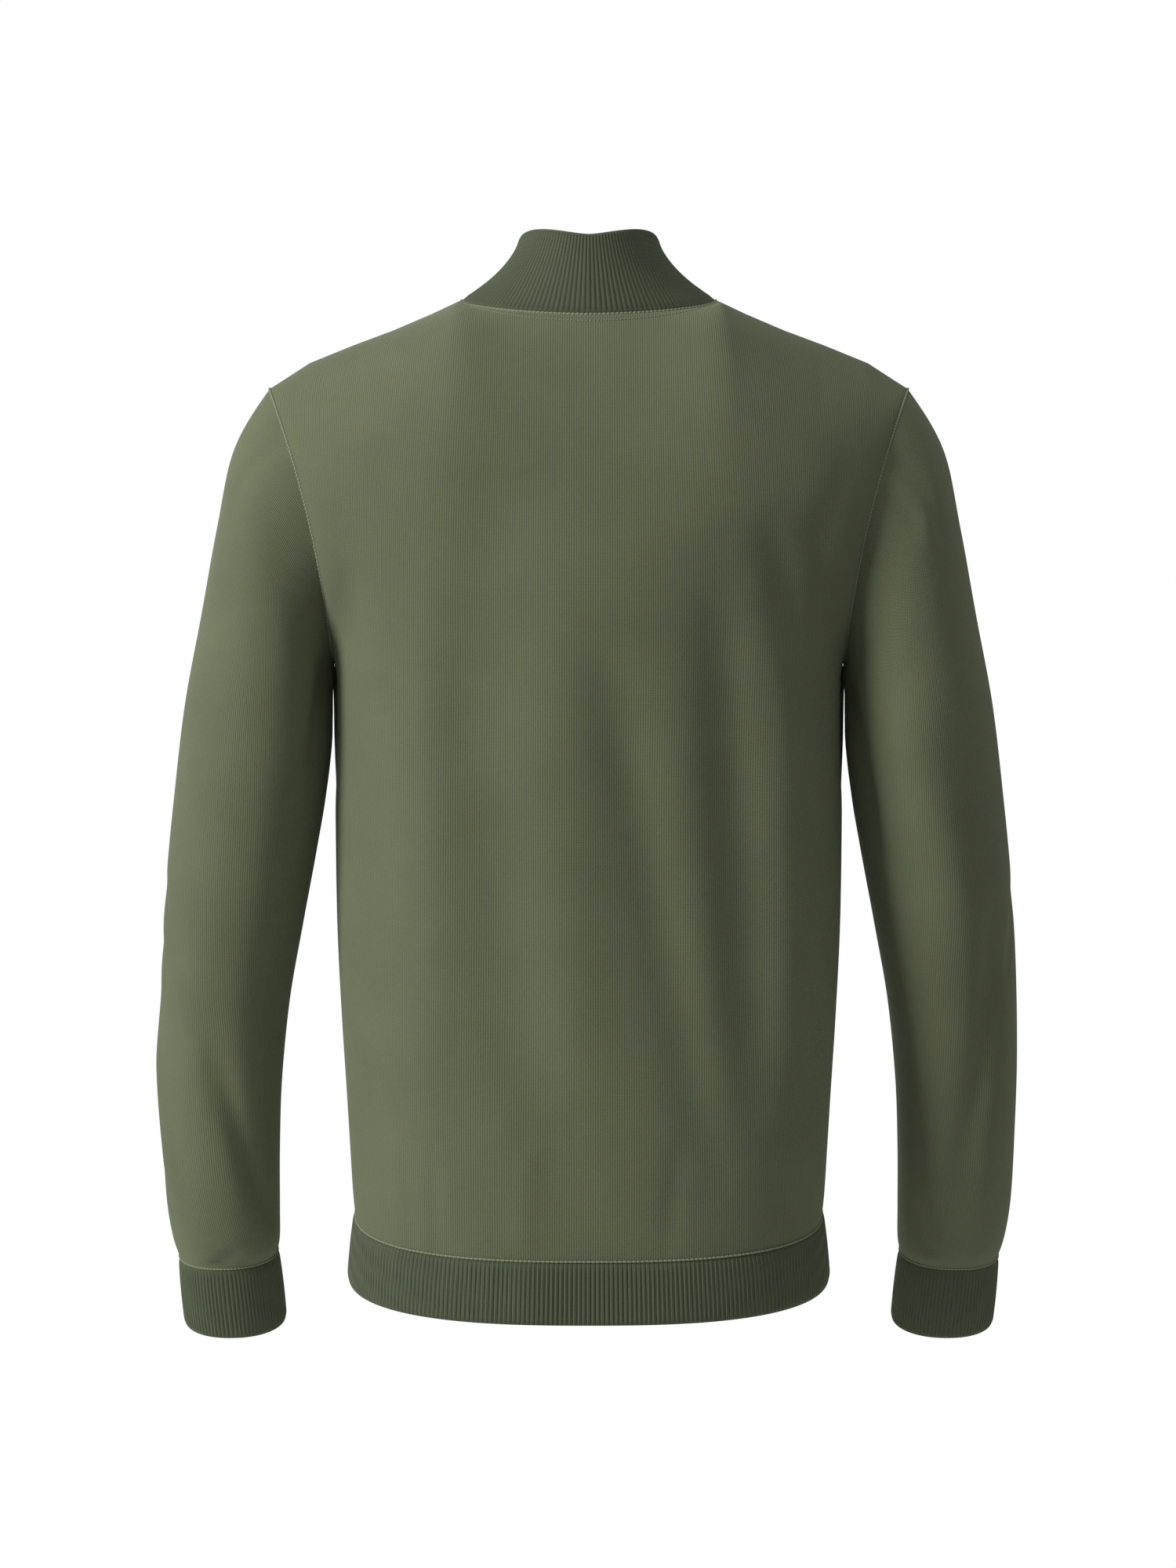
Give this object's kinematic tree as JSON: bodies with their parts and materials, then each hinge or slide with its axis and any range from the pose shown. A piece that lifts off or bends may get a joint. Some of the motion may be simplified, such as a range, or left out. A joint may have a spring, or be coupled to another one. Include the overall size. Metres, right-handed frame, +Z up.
{
  "type": "knitted mock-neck sweater, worn shape held by its wearer",
  "caption": "Fine-gauge knitted pullover with a ribbed mock-neck collar, ribbed hem and cuffs, filled out as if worn.",
  "frame": {"origin": "middle of the neck base, level with the top of the shoulders, where the wearer carries the garment", "axes": "+Z up, the front faces -Y, +X is the wearer's left"},
  "size_m": [0.5926, 0.2606, 0.7651],
  "materials": {
    "jersey": "plain-knit fine-gauge jersey in olive green, matt with a soft nap",
    "rib": "one-by-one ribbed knit in the same olive green yarn, matt"
  },
  "bodies": {
    "root": {"back": "jersey", "front": "jersey", "sleeve_left": "jersey", "sleeve_right": "jersey", "collar": "rib", "hem_rib_back": "rib", "hem_rib_front": "rib", "cuff_left": "rib", "cuff_right": "rib"}
  },
  "joints": []
}
